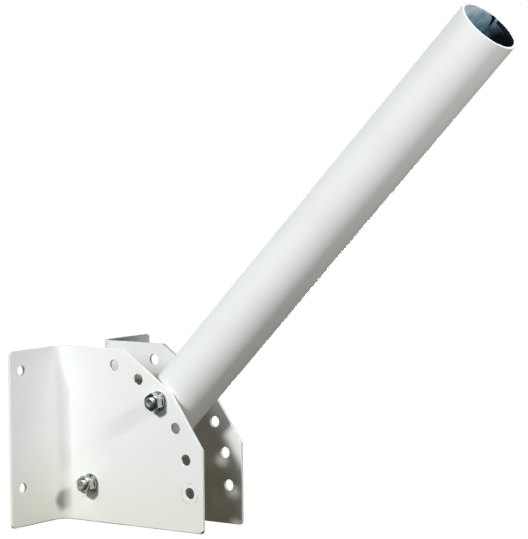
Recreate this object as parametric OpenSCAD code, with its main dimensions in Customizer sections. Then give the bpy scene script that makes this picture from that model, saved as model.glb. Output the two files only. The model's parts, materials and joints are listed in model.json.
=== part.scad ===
// Adjustable wall bracket with a tilting mast that carries a satellite dish.
// X points out from the wall, Y to the right of someone who faces the wall, and Z up.
// The origin is on the wall, at the centre of the four wall holes.

/* [Mast] */
// Outside diameter of the mast tube
mast_outer = 48; // [32:1:60]
// Wall thickness of the mast tube
mast_wall = 2; // [1.5:0.5:3]
// Whole length of the mast tube
mast_length = 520; // [300:10:800]
// Length of the tube behind the pivot bolt
mast_tail = 17; // [12:1:30]
// Width of the weld bead inside the tube
seam_width = 3; // [2:0.5:4]
// Height of the weld bead over the tube's inner wall
seam_rise = 0.8; // [0.4:0.1:1]
// Place of the weld bead, turned from the right side towards the top
seam_angle = 20; // [0:5:90]

/* [Side plates] */
// Thickness of the steel sheet
sheet = 2.5; // [1.5:0.5:4]
// Inside radius of the bend between the flange and the web
bend_inner = 9.5; // [3:0.5:15]
// Reach of the flange along the wall, from the outer face of the web to its edge
flange_reach = 61.25; // [50:0.25:90]
// Rounding of the square corners
corner_round = 3; // [1:0.5:8]
// Gap between the tube and each web
side_play = 0.25; // [0.1:0.05:1]
// Gap between the wall and the tube's tail as it swings past
tail_gap = 2.6; // [1:0.1:12]

/* [Pivot and index holes] */
// Height of the pivot over the bottom edge of the plates
pivot_height = 31; // [20:1:50]
// Radius of the arc of index holes round the pivot
index_radius = 100; // [80:1:140]
// Angle from one index hole to the next
index_step = 15; // [11:1:15]
// Index holes in each plate
index_count = 6; // [4:1:7]
// Index hole that the lock bolt is in, counted upwards from 0
lock_index = 3; // [0:1:5]
// How much wider the bolt holes are than the bolts
hole_play = 1; // [0.4:0.1:2]

/* [Outline of the webs] */
// From the arc of index holes to the front edge
front_margin = 13; // [8:0.5:25]
// From the arc of index holes to the lower chamfer
lower_chamfer_margin = 12.4; // [11:0.1:13.5]
// From the arc of index holes to the upper chamfer
upper_chamfer_margin = 10.7; // [9.5:0.1:12]
// From the arc of index holes to the top edge
top_margin = 10; // [8:0.5:15]
// Direction that the lower chamfer faces, over the horizontal
lower_chamfer_angle = 35; // [25:1:42]
// Direction that the upper chamfer faces, over the horizontal
upper_chamfer_angle = 56; // [50:1:65]

/* [Wall holes] */
// Diameter of the wall holes
wall_hole = 8; // [6:0.5:12]
// From the wall holes to the outer edge of the flange
wall_hole_edge = 13; // [8:0.5:25]
// Height of the lower wall holes over the bottom edge
wall_hole_low = 31; // [12:1:50]
// Depth of the upper wall holes under the top edge
wall_hole_drop = 16; // [12:1:40]

/* [Bolts and nuts] */
// Diameter of the bolts
bolt_diameter = 8; // [6:0.5:10]
// Width of the bolt heads across their flats
head_width = 13; // [12:0.5:17]
// Height of the bolt heads
head_height = 5.3; // [4:0.1:7]
// Width of the nuts across their flats
nut_width = 13; // [12:0.5:17]
// Height of the nuts
nut_height = 6.5; // [4:0.1:8]
// Length of thread that stands out of the nuts
thread_proud = 2.5; // [1:0.5:12]
// Chamfer on the end of the thread
thread_chamfer = 0.8; // [0.3:0.1:0.9]
// Gap between a bolt and what it carries
thread_play = 0.1; // [0.05:0.05:0.3]

/* [Washers] */
// Outside diameter of the flat washers
washer_outer = 16; // [14:0.5:24]
// Thickness of the flat washers
washer_thick = 1.6; // [1:0.1:3]
// How much wider the flat washers' holes are than the bolts
washer_play = 0.4; // [0.2:0.1:1]
// Outside diameter of the spring washers
spring_outer = 14.8; // [13:0.1:18]
// Thickness of the pressed-flat spring washers
spring_thick = 2; // [1:0.1:3]
// Width of the slit in the spring washers
spring_slit = 1.2; // [0.6:0.1:2]
// Slant of the slit in the spring washers
slit_slant = 25; // [0:5:35]

/* [Hidden] */
$fn = 96;

mast_radius = mast_outer / 2;
bore_radius = mast_radius - mast_wall;
mast_angle = lock_index * index_step;

// Webs: inner faces at half_gap from the middle plane, outer faces at web_outer
half_gap = mast_radius + side_play;
web_outer = half_gap + sheet;
flange_outer = web_outer + flange_reach;
bend_reach = sheet + bend_inner;

// The pivot stands off the wall by the circle that the tail's corners sweep
pivot_x = norm([mast_tail, mast_radius]) + tail_gap;
plate_height = pivot_height + index_radius + top_margin;
hole_count = max(index_count, lock_index + 1);
bolt_hole = bolt_diameter + hole_play;

// Heights over the bottom edge become heights over the centre of the wall holes
wall_hole_high = plate_height - wall_hole_drop;
base_z = -(wall_hole_low + wall_hole_high) / 2;
pivot_z = base_z + pivot_height;
wall_hole_y = flange_outer - wall_hole_edge;

// Stack from the bearing face of the head to the end of the thread
grip = 2 * web_outer + 2 * washer_thick + spring_thick + nut_height;
bolt_length = grip + thread_proud;
hex_chamfer = 30;
cut_past = 1;

// Point of the arc of index holes, measured from the pivot in the plane of the webs
function index_point(i) = index_radius * [cos(i * index_step), sin(i * index_step)];

pivot_point = [0, 0];
lock_point = index_point(lock_index);

// Turns of the nuts and of the slits about their bolts
pivot_nut_turn = 8;
lock_nut_turn = 23;
pivot_slit_turn = 70;
lock_slit_turn = 115;

// Corner between two edges that face angles a and b, at distances p and q from the pivot
function corner(a, p, b, q) =
    [p * sin(b) - q * sin(a), q * cos(a) - p * cos(b)] / sin(b - a);

// Outline of the web, measured from the wall and from the bottom edge
function web_outline() =
    let (
        front = index_radius + front_margin,
        lower = index_radius + lower_chamfer_margin,
        upper = index_radius + upper_chamfer_margin,
        top = index_radius + top_margin,
        pivot = [pivot_x, pivot_height]
    )
    [
        [bend_reach, 0],
        [pivot_x + front, 0],
        pivot + corner(0, front, lower_chamfer_angle, lower),
        pivot + corner(lower_chamfer_angle, lower, upper_chamfer_angle, upper),
        [pivot_x + corner(upper_chamfer_angle, upper, 90, top)[0], plate_height],
        [bend_reach, plate_height]
    ];

// Sliver between a square corner at the origin and its rounding, for a plate in the first quadrant
module corner_sliver() {
    difference() {
        translate([-cut_past, -cut_past]) square(corner_round + cut_past);
        translate([corner_round, corner_round]) circle(corner_round);
    }
}

module web() {
    translate([0, -half_gap, base_z])
    rotate([90, 0, 0])
    linear_extrude(sheet)
    difference() {
        polygon(web_outline());
        translate([pivot_x + index_radius + front_margin, 0]) mirror([1, 0]) corner_sliver();
        translate([pivot_x, pivot_height]) {
            circle(d = bolt_hole);
            for (i = [0 : hole_count - 1]) translate(index_point(i)) circle(d = bolt_hole);
        }
    }
}

module bend() {
    translate([bend_reach, -web_outer - bend_inner, base_z])
    rotate([0, 0, 90])
    rotate_extrude(angle = 90)
    translate([bend_inner, 0]) square([sheet, plate_height]);
}

// Flat of the flange, from the end of the bend to the outer edge
module flange() {
    flat = flange_reach - bend_inner;
    translate([sheet, -web_outer - bend_inner, base_z])
    rotate([90, 0, -90])
    linear_extrude(sheet)
    difference() {
        square([flat, plate_height]);
        translate([flat, 0]) mirror([1, 0]) corner_sliver();
        translate([flat, plate_height]) rotate(180) corner_sliver();
        for (z = [wall_hole_low, wall_hole_high])
            translate([flat - wall_hole_edge, z]) circle(d = wall_hole);
    }
}

module side_plate() {
    union() {
        web();
        bend();
        flange();
    }
}

// Chamfered hexagon that stands on the XY plane, with both ends chamfered or only the upper one
module hexagon(width, height, both_ends) {
    corner_radius = width / 2 / cos(30);
    drop = (corner_radius - width / 2) * tan(hex_chamfer);
    foot = both_ends ? [[width / 2, 0], [corner_radius, drop]] : [[corner_radius, 0]];
    intersection() {
        cylinder(r = corner_radius, h = height, $fn = 6);
        rotate_extrude()
        polygon(concat(
            [[0, 0]], foot,
            [[corner_radius, height - drop], [width / 2, height], [0, height]]
        ));
    }
}

// Bolt with its bearing face on the XY plane, its thread end down and its shank rooted in its head
module bolt() {
    root = head_height / 2;
    hexagon(head_width, head_height, false);
    rotate_extrude()
    polygon([
        [0, -bolt_length],
        [bolt_diameter / 2 - thread_chamfer, -bolt_length],
        [bolt_diameter / 2, thread_chamfer - bolt_length],
        [bolt_diameter / 2, root],
        [0, root]
    ]);
}

module flat_washer() {
    difference() {
        cylinder(d = washer_outer, h = washer_thick);
        translate([0, 0, -cut_past])
        cylinder(d = bolt_diameter + washer_play, h = washer_thick + 2 * cut_past);
    }
}

module spring_washer() {
    slit_length = spring_outer - bolt_diameter;
    difference() {
        cylinder(d = spring_outer, h = spring_thick);
        translate([0, 0, -cut_past])
        cylinder(d = bolt_diameter + washer_play, h = spring_thick + 2 * cut_past);
        translate([(spring_outer + bolt_diameter) / 4, 0, spring_thick / 2])
        rotate([slit_slant, 0, 0])
        cube([slit_length, spring_slit, 4 * spring_thick], center = true);
    }
}

module nut() {
    difference() {
        hexagon(nut_width, nut_height, true);
        translate([0, 0, -cut_past])
        cylinder(d = bolt_diameter + 2 * thread_play, h = nut_height + 2 * cut_past);
    }
}

// Places a child of a bolt's head side, on the outer face of the right web
module at_head(point, lift) {
    translate([pivot_x + point[0], web_outer + lift, pivot_z + point[1]]) rotate([-90, 0, 0]) children();
}

// Places a child of a bolt's nut side, on the outer face of the left web, turned about the bolt
module at_nut(point, lift, turn) {
    translate([pivot_x + point[0], -web_outer - lift, pivot_z + point[1]])
    rotate([90, 0, 0])
    rotate([0, 0, turn])
    children();
}

module left_plate() {
    color("whitesmoke") side_plate();
}

module right_plate() {
    color("whitesmoke") mirror([0, 1, 0]) side_plate();
}

module mast_tube() {
    bead_radius = (seam_width * seam_width / 4 + seam_rise * seam_rise) / (2 * seam_rise);
    color("white")
    translate([pivot_x, 0, pivot_z])
    rotate([0, 90 - mast_angle, 0])
    difference() {
        union() {
            difference() {
                translate([0, 0, -mast_tail]) cylinder(r = mast_radius, h = mast_length);
                translate([0, 0, -mast_tail - cut_past])
                cylinder(r = bore_radius, h = mast_length + 2 * cut_past);
            }
            intersection() {
                translate([0, 0, -mast_tail])
                rotate([0, 0, 90 + seam_angle])
                translate([bore_radius - seam_rise + bead_radius, 0, 0])
                cylinder(r = bead_radius, h = mast_length);
                translate([0, 0, -mast_tail])
                cylinder(r = bore_radius + mast_wall / 2, h = mast_length);
            }
        }
        for (along = [0, index_radius])
            translate([0, 0, along]) rotate([90, 0, 0])
            cylinder(d = bolt_hole, h = 2 * mast_outer, center = true);
    }
}

module pivot_bolt() {
    color("silver") at_head(pivot_point, washer_thick) bolt();
}

module pivot_head_washer() {
    color("silver") at_head(pivot_point, 0) flat_washer();
}

module pivot_washer() {
    color("silver") at_nut(pivot_point, 0, 0) flat_washer();
}

module pivot_spring_washer() {
    color("silver") at_nut(pivot_point, washer_thick, pivot_slit_turn) spring_washer();
}

module pivot_nut() {
    color("silver") at_nut(pivot_point, washer_thick + spring_thick, pivot_nut_turn) nut();
}

module lock_bolt() {
    color("silver") at_head(lock_point, washer_thick) bolt();
}

module lock_head_washer() {
    color("silver") at_head(lock_point, 0) flat_washer();
}

module lock_washer() {
    color("silver") at_nut(lock_point, 0, 0) flat_washer();
}

module lock_spring_washer() {
    color("silver") at_nut(lock_point, washer_thick, lock_slit_turn) spring_washer();
}

module lock_nut() {
    color("silver") at_nut(lock_point, washer_thick + spring_thick, lock_nut_turn) nut();
}

left_plate();
right_plate();
mast_tube();
pivot_bolt();
pivot_head_washer();
pivot_washer();
pivot_spring_washer();
pivot_nut();
lock_bolt();
lock_head_washer();
lock_washer();
lock_spring_washer();
lock_nut();
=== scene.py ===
"""Wall bracket with a tilting mast for a satellite dish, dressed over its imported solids.

The sheet-metal pieces start as flat blanks, are punched and trimmed there, and are then folded or rolled by
formula. The bolts, nuts and washers are turned profiles. Lengths are in millimetres until a mesh is made,
and angles in degrees.
"""
import json
from collections import namedtuple

import bpy
import numpy as np
from mathutils import Matrix, Vector


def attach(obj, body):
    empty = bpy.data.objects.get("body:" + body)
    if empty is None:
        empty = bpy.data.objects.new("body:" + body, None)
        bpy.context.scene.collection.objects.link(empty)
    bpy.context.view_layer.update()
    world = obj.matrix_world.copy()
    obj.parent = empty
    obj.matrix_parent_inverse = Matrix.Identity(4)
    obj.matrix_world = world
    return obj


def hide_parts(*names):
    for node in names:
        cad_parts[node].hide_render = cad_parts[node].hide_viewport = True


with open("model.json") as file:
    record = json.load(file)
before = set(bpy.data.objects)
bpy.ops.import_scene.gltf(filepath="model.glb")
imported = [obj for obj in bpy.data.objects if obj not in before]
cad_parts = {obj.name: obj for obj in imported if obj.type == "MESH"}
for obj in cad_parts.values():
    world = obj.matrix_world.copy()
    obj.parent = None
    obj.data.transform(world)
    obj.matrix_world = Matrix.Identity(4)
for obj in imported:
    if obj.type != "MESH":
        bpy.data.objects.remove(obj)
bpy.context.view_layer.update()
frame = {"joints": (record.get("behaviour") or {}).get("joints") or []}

MM = 0.001
TINY = 1e-6

# Mast tube, along its axis from the pivot
MAST_RADIUS = 24.0
MAST_WALL = 2.0
MAST_BORE = MAST_RADIUS - MAST_WALL
MAST_TAIL = -17.0
MAST_MOUTH = 503.0
MAST_ANGLE = 45.0
SEAM_ANGLE = 20.0
SEAM_HALF_WIDTH = 1.5
SEAM_RISE = 0.8

# Side plates
SHEET = 2.5
BEND_INNER = 9.5
BEND_END = SHEET + BEND_INNER
BEND_MIDDLE = BEND_INNER + SHEET / 2
BEND_LENGTH = BEND_MIDDLE * np.pi / 2
WEB_OUTER = 26.75
FLANGE_OUTER = 88.0
PLATE_BASE = -78.0
PLATE_TOP = 63.0
BLANK_END = -BEND_LENGTH - (FLANGE_OUTER - WEB_OUTER - BEND_INNER)

# Pivot, index holes and wall holes; on the blank, across counts from the end of the bend
[mast_tilt] = [joint for joint in frame["joints"] if joint["name"] == "mast_tilt"]
PIVOT = np.round(np.array(mast_tilt["pos_m"]) / MM, 4)
PIVOT_ON_BLANK = np.array([PIVOT[0] - BEND_END, PIVOT[2]])
INDEX_RADIUS = 100.0
INDEX_STEP = 15.0
INDEX_ANGLES = INDEX_STEP * np.arange(6)
HOLE_RADIUS = 4.5
WALL_HOLE_RADIUS = 4.0
WALL_HOLE_EDGE = 13.0
WALL_HOLE_HEIGHTS = (-47.0, 47.0)

# Web outline: where each straight edge faces, how far it lies from the pivot, and the corner after it
EDGE_FACING = np.array([-90.0, 0.0, 35.0, 56.0, 90.0, 180.0])
EDGE_DISTANCE = np.array([
    PIVOT[2] - PLATE_BASE, 113.0, 112.4, 110.7, PLATE_TOP - PIVOT[2], PIVOT_ON_BLANK[0] - BLANK_END,
])
CORNER_RADIUS = np.array([3.0, 2.0, 2.0, 2.0, 3.0, 3.0])

# Rounding that the coat leaves on a sheet edge, and the band beside it where the coat may wear
EDGE_ROUND = 0.35
EDGE_BAND = 1.1
EDGE_INSET = EDGE_ROUND + EDGE_BAND

# Where the flat plate is divided: at bend lines, in steps along its edges, and into cells round the holes
BEND_LINES = -BEND_LENGTH * np.linspace(0.0, 1.0, 15)
FLANGE_STEPS = np.linspace(BLANK_END + EDGE_INSET, -BEND_LENGTH, 10)
FLANGE_SPLIT = 0.0
HEIGHT_STEPS = np.concatenate([
    np.linspace(PLATE_BASE + EDGE_INSET, FLANGE_SPLIT, 13),
    np.linspace(FLANGE_SPLIT, PLATE_TOP - EDGE_INSET, 11)[1:],
])
WEB_BASE_STEPS = np.linspace(0.0, 125.0, 20)[1:]
WEB_TOP_STEPS = np.linspace(0.0, 50.0, 10)[1:]
CORNER_SHARES = np.linspace(0.0, 1.0, 7)
SIDE_SHARES = np.linspace(0.0, 1.0, 12)[1:-1]
CELL_SIDE_SHARES = np.linspace(0.0, 1.0, 7)
CELL_ARC_SHARES = np.linspace(0.0, 1.0, 13)
CELL_INNER_RADIUS = 88.0
CELL_MIDDLES = INDEX_ANGLES[:-1] + INDEX_STEP / 2
CELL_INNER_ANGLES = np.concatenate([[-6.0], CELL_MIDDLES, [81.0]])
CELL_OUTER_ANGLES = np.concatenate([[-9.0], CELL_MIDDLES, [84.0]])

# Where the mast's sheet is divided: in steps round it and along it, with cells round its bolt holes
MAST_TURN_STEP = 3.75
SEAM_SHARES = np.linspace(-1.0, 1.0, 9)
MAST_CELL_HALF = 8.0
MAST_CELL_ANGLE = 15.0
MAST_CELL_STEPS = np.linspace(-MAST_CELL_HALF, MAST_CELL_HALF, 9)
MAST_LOWER_STEPS = np.linspace(MAST_CELL_HALF, INDEX_RADIUS - MAST_CELL_HALF, 9)[1:-1]
MAST_UPPER_STEPS = np.linspace(INDEX_RADIUS + MAST_CELL_HALF, MAST_MOUTH - EDGE_INSET, 28)[1:]

# Bolts, nuts and washers; the dimple in a bolt's end is rows of radius, height and wear
BOLT_RADIUS = 4.0
BOLT_LENGTH = 67.7
BOLT_LOOSE = 0.05
BOLT_END_CUT = 0.75
BOLT_FILLET = 0.3
BOLT_DIMPLE = [(0.5, 0.42, 0.0), (1.5, 0.36, 0.0), (2.4, 0.1, 0.3), (2.8, 0.0, 0.5)]
THREAD_PITCH = 1.25
THREAD_STEP = THREAD_PITCH / 10
THREAD_DEPTH = 0.66
THREAD_LENGTH = 26.0
THREAD_CREST = 0.375
THREAD_SLOPE = 4.4
HEX_SECTOR = 60.0
HEX_FLATS = 13.0
HEX_FACE = 0.96 * HEX_FLATS / 2
HEX_CHAMFER = 30.0
HEX_CORNER_CUT = 28.5
HEX_CORNER_WORN = 22.0
HEAD_HEIGHT = 5.3
HEAD_BEARING = 0.95 * HEX_FLATS / 2
HEAD_EDGE_CUT = 0.1
HEAD_EDGE_RISES = (0.05, 0.15)
HEAD_RIM = 0.8 * HEX_FACE
HEAD_FLOOR = 0.72 * HEX_FACE
HEAD_RECESS = 0.25
NUT_HEIGHT = 6.5
NUT_BORE = 4.1
NUT_LEAD_WIDTH = 0.55
NUT_LEAD_DEPTH = 0.6
WASHER_OUTER = 8.0
WASHER_BORE = 4.2
WASHER_THICK = 1.6
WASHER_ROUND = 0.3
SPRING_OUTER = 7.4
SPRING_THICK = 2.0
SPRING_ROUND = 0.18
SPRING_SLIT = 12.0
SPRING_SLANT = 9.0
SPRING_RISE = 0.3
SHARP_ANGLE = 24.0

# Where the turned pieces are divided, and the two ways that they look
ROUND_ANGLES = np.arange(0.0, 360.0, 5.0)
QUARTER_STEPS = np.linspace(0.0, 90.0, 4)
SPRING_SHARES = np.linspace(0.0, 1.0, 65)
HEX_STEPS = np.array([
    -HEX_CORNER_CUT, -HEX_CORNER_WORN, -15.0, -7.5, 0.0, 7.5, 15.0, HEX_CORNER_WORN, HEX_CORNER_CUT,
    HEX_SECTOR / 2,
])
HEX_ANGLES = (np.arange(0.0, 360.0, HEX_SECTOR)[:, None] + HEX_STEPS).reshape(-1)
NUT_SIDE = np.array([0.0, -1.0, 0.0])
HEAD_SIDE = np.array([0.0, 1.0, 0.0])

# Finishes, as linear colours
COAT_WHITE = (0.81, 0.82, 0.81, 1.0)
COAT_SOILED = (0.72, 0.72, 0.67, 1.0)
COAT_THICK = (0.85, 0.85, 0.83, 1.0)
# Painted warm bounce light, as a tint towards the plates' lower edges
COAT_PAINTED_WARM_BOUNCE = (0.82, 0.82, 0.65, 1.0)
# Painted shade for the inner faces of the webs
COAT_PAINTED_SHADE = (0.36, 0.34, 0.26, 1.0)
PRINT_GREY = (0.42, 0.41, 0.4, 1.0)
STEEL_BARE = (0.3, 0.3, 0.29, 1.0)
# Dark steel: a patchy line along the plates' lower edges, and the knocked lower front corner
STEEL_DARK = (0.03, 0.03, 0.035, 1.0)
# Painted light, pale, on the upper side of the bore near the mouth
BORE_PAINTED_LIGHT = (0.7, 0.8, 0.84, 1.0)
BORE_STEEL = (0.25, 0.42, 0.56, 1.0)
# Painted shade, near black, on the lower side of the bore
BORE_PAINTED_SHADE = (0.006, 0.007, 0.009, 1.0)
ZINC_BLUE = (0.5, 0.57, 0.6, 1.0)
ZINC_STRAW = (0.5, 0.47, 0.37, 1.0)
ZINC_DULL = (0.28, 0.31, 0.31, 1.0)
ZINC_RUBBED = (0.78, 0.8, 0.8, 1.0)

# Relief of the finishes, as the height of their bumps, and how much the mast's drawing marks add to it
COAT_RELIEF = 0.03
BORE_RELIEF = 0.05
ZINC_RELIEF = 0.01
MAST_STREAKS = 0.4

# Marks on the plates: their places, and the distances at which each starts to fade and is gone
# Painted shade low on the inner faces of the webs: its centre and reach
INNER_SHADE_CENTRE = (40.0, 0.0, -60.0)
INNER_SHADE_REACH = (95.0, 119.0)
COAT_NIB = (SHEET, -79.2, -32.7)
NIB_REACH = (0.7, 1.8)
PRINT_INNER = (7.2, 8.0)
PRINT_OUTER = (8.2, 9.0)
LOWER_EDGE_REACH = np.array([0.5, 1.0])
CORNER_REACH = (1.6, 3.4)

# Inside of the mast, with painted light and shade: levels from -1 at its lowest line to 1 at its highest,
# and depths from the mouth
SHADE_TO_STEEL_LEVELS = (-0.15, 0.8)
PAINTED_LIGHT_LEVELS = (0.55, 1.1)
STREAK_LEVEL = 0.3
PAINTED_SHADOW_LEVEL = -1.3
DEPTH_SHADE_DEPTHS = (-6.0, 22.0)
DEPTH_SHADE_LEVELS = (-0.17, 0.37)

# Painted shadow beside the weld bead and along the rim below it: where they start over its upper edge, and
# the depths at which they fade
BEAD_SHADOW_START = (-0.7, 0.1)
BEAD_SHADOW_PRODUCT = (5.0, 8.0)
BEAD_SHADOW_DEPTHS = (3.0, 9.0)
RIM_SHADE_START = (-2.0 * SEAM_HALF_WIDTH, -1.6 * SEAM_HALF_WIDTH)
RIM_SHADE_DEPTHS = (1.2, 3.8)

# Camera, with its azimuth, elevation and lean in degrees and its place in metres
PHOTO_HEIGHT = 539.0
FOCAL_PIXELS = 2326.03
SENSOR_WIDTH = 36.0
CAMERA_ANGLES = (35.85, 3.74, -0.64)
CAMERA_PLACE = (1.23321, -1.44836, 0.24496)

# Studio, with the floor's lengths in metres
BACKDROP_SIDE = (-0.584, 0.809, 0.0)
BACKDROP_EDGE = (-0.1, 0.5)
BACKDROP_WHITE = (1.0, 1.0, 1.0, 1.0)
ROOM_DIM = (0.05, 0.055, 0.055, 1.0)
WARM_FILL = (0.01, 0.0095, 0.006, 1.0)
FLOOR_PALE = (0.4, 0.4, 0.39, 1.0)
FLOOR_AS_LIGHT = (0.12, 0.112, 0.08, 1.0)
FLOOR_HALF = 12.0
FLOOR_HEIGHT = -0.62
GLOW_DISTANCES = (0.8, 2.6)
GLOW_LEVELS = (0.8, 1.0)
MIRRORED_GLOW = 0.4

# What a mask goes from and to where it fades out
FALLING = (1.0, 0.0)

Patch = namedtuple("Patch", "points normals edge faces")
EdgeProfile = namedtuple("EdgeProfile", "reach depth on_back outward inward worn")
Profile = namedtuple("Profile", "radius height worn angles")
Turns = namedtuple("Turns", "nut slit head")


def directions(degrees):
    """Unit vectors in a plane at the given angles."""
    angles = np.radians(degrees)
    return np.stack([np.cos(angles), np.sin(angles)], axis=-1)


def grid_faces(rows, columns, closed=False, flip=False):
    """Four-sided faces between the neighbouring rows and columns of a grid.

    The last column joins the first one if the grid is closed, and flip turns the faces round.
    """
    first = np.arange(rows - 1)[:, None] * columns
    across = np.arange(columns if closed else columns - 1)[None, :]
    ahead = (across + 1) % columns
    corners = [first + across, first + ahead, first + columns + ahead, first + columns + across]
    faces = np.stack(corners, axis=-1).reshape(-1, 4)
    return faces[:, ::-1] if flip else faces


def edge_profile(steps=4):
    """Rounded edge of a sheet, from the band on its front face over the edge to the band on its back face.

    Two quarter circles: the reach is the rounding times the sine of the turn, the depth is the rounding
    times one less its cosine, and where on_back is 1 the depth counts back from the sheet's back face.
    """
    turn = np.linspace(0.0, np.pi / 2, steps)
    reach = np.concatenate([[-EDGE_BAND], EDGE_ROUND * np.sin(turn)])
    depth = np.concatenate([[0.0], EDGE_ROUND * (1.0 - np.cos(turn))])
    outward = np.concatenate([[0.0], np.sin(turn)])
    inward = np.concatenate([[-1.0], -np.cos(turn)])
    worn = np.concatenate([[0.0], np.linspace(0.5, 1.0, steps)])
    return EdgeProfile(
        np.concatenate([reach, reach[::-1]]),
        np.concatenate([depth, -depth[::-1]]),
        np.repeat([0.0, 1.0], steps + 1),
        np.concatenate([outward, outward[::-1]]),
        np.concatenate([inward, -inward[::-1]]),
        np.concatenate([worn, worn[::-1]]),
    )


def along_edge(path, outward, thickness):
    """The edge profile carried along a closed path on a blank.

    A row's point is the path moved inwards by the rounding less the profile's reach, at its depth.
    """
    profile = edge_profile()
    shape = (len(profile.reach), len(path))
    flat = path[None] - (EDGE_ROUND - profile.reach)[:, None, None] * outward[None]
    deep = profile.depth[:, None] + profile.on_back[:, None] * np.broadcast_to(thickness, len(path))[None]
    points = np.concatenate([flat, deep[..., None]], axis=-1)
    lean = profile.outward[:, None, None] * outward[None]
    normals = np.concatenate([lean, np.broadcast_to(profile.inward[:, None, None], shape + (1,))], axis=-1)
    worn = np.broadcast_to(profile.worn[:, None], shape)
    return Patch(points, normals, worn, grid_faces(*shape, closed=True, flip=True))


def punched_cell(border, centre, hole_radius, thickness):
    """A cell of a blank round one punched hole.

    The front face runs from each border point straight to the hole, the edge profile goes through the hole,
    and the back face runs out to the border again.
    """
    profile = edge_profile()
    spokes = border - centre
    spokes = spokes / np.linalg.norm(spokes, axis=1, keepdims=True)
    radius = hole_radius + EDGE_ROUND - profile.reach
    hole = centre + radius[:, None, None] * spokes[None]
    flat = np.concatenate([border[None], hole, border[None]])
    deep = np.concatenate([[0.0], profile.depth + profile.on_back * thickness, [thickness]])
    lean = np.concatenate([[0.0], -profile.outward, [0.0]])
    inward = np.concatenate([[-1.0], profile.inward, [1.0]])
    worn = np.concatenate([[0.0], profile.worn, [0.0]])
    shape = (len(deep), len(border))
    points = np.concatenate([flat, np.broadcast_to(deep[:, None, None], shape + (1,))], axis=-1)
    tilt = lean[:, None, None] * spokes[None]
    normals = np.concatenate([tilt, np.broadcast_to(inward[:, None, None], shape + (1,))], axis=-1)
    return Patch(points, normals, np.broadcast_to(worn[:, None], shape), grid_faces(*shape, closed=True))


def flat_grid(rows, columns, on_back):
    """A plain stretch of a blank's front or back face, over all pairs of the given rows and columns."""
    across, along = np.meshgrid(rows, columns, indexing="ij")
    points = np.stack([across, along, np.full_like(across, SHEET * on_back)], axis=-1)
    normals = np.zeros_like(points)
    normals[..., 2] = 1.0 if on_back else -1.0
    return Patch(points, normals, np.zeros(across.shape), grid_faces(len(rows), len(columns), flip=on_back))


def around_pivot(points, start):
    """Angle of points round the pivot in degrees, counted upwards from the start angle."""
    angle = np.degrees(np.arctan2(points[..., 1], points[..., 0]))
    return start + np.mod(angle - start + TINY, 360.0) - TINY


def on_blank(across, height):
    """Points of the blank as seen from the pivot."""
    return np.stack(np.broadcast_arrays(across, height), axis=-1) - PIVOT_ON_BLANK


def side_plate_outline():
    """Outline of the flat plate: points and outward directions, in order round the pivot.

    The straight edges each face an angle at a distance from the pivot. Each corner is an arc whose centre
    lies one corner radius inside both of its edges. The rest are points on the edges, where the bend lines
    and the cells meet them, and all of them are sorted by their angle round the pivot.
    """
    next_facing = np.append(EDGE_FACING[1:], EDGE_FACING[0] + 360.0)
    next_distance = np.roll(EDGE_DISTANCE, -1)
    edge_normals = directions(EDGE_FACING)

    both_normals = np.stack([edge_normals, directions(next_facing)], axis=1)
    both_reaches = np.stack([EDGE_DISTANCE, next_distance], axis=1) - CORNER_RADIUS[:, None]
    centres = np.linalg.solve(both_normals, both_reaches[..., None])[..., 0]
    arc_facing = EDGE_FACING[:, None] + (next_facing - EDGE_FACING)[:, None] * CORNER_SHARES
    arc_normals = directions(arc_facing)
    arcs = centres[:, None] + CORNER_RADIUS[:, None, None] * arc_normals

    starts, ends = arcs[0:3, -1], arcs[1:4, 0]
    sides = starts[:, None] + SIDE_SHARES[None, :, None] * (ends - starts)[:, None]
    side_normals = np.broadcast_to(edge_normals[1:4, None], sides.shape)

    rays = directions(CELL_OUTER_ANGLES)
    reach = EDGE_DISTANCE[None] / np.maximum(rays @ edge_normals.T, TINY)
    cell_ends = rays * np.min(reach, axis=1)[:, None]
    cell_normals = edge_normals[np.argmin(reach, axis=1)]

    bottom = on_blank(np.concatenate([FLANGE_STEPS[1:-1], BEND_LINES, WEB_BASE_STEPS]), PLATE_BASE)
    top = on_blank(np.concatenate([FLANGE_STEPS[1:-1], BEND_LINES, WEB_TOP_STEPS]), PLATE_TOP)
    outer = on_blank(BLANK_END, HEIGHT_STEPS[1:-1])

    path = np.concatenate([arcs.reshape(-1, 2), sides.reshape(-1, 2), cell_ends, bottom, top, outer])
    outward = np.concatenate([
        arc_normals.reshape(-1, 2),
        side_normals.reshape(-1, 2),
        cell_normals,
        np.broadcast_to([0.0, -1.0], bottom.shape),
        np.broadcast_to([0.0, 1.0], top.shape),
        np.broadcast_to([-1.0, 0.0], outer.shape),
    ])
    start = around_pivot(on_blank(0.0, PLATE_BASE), 0.0)
    order = np.argsort(around_pivot(path, start))
    return path[order], outward[order], start


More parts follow.
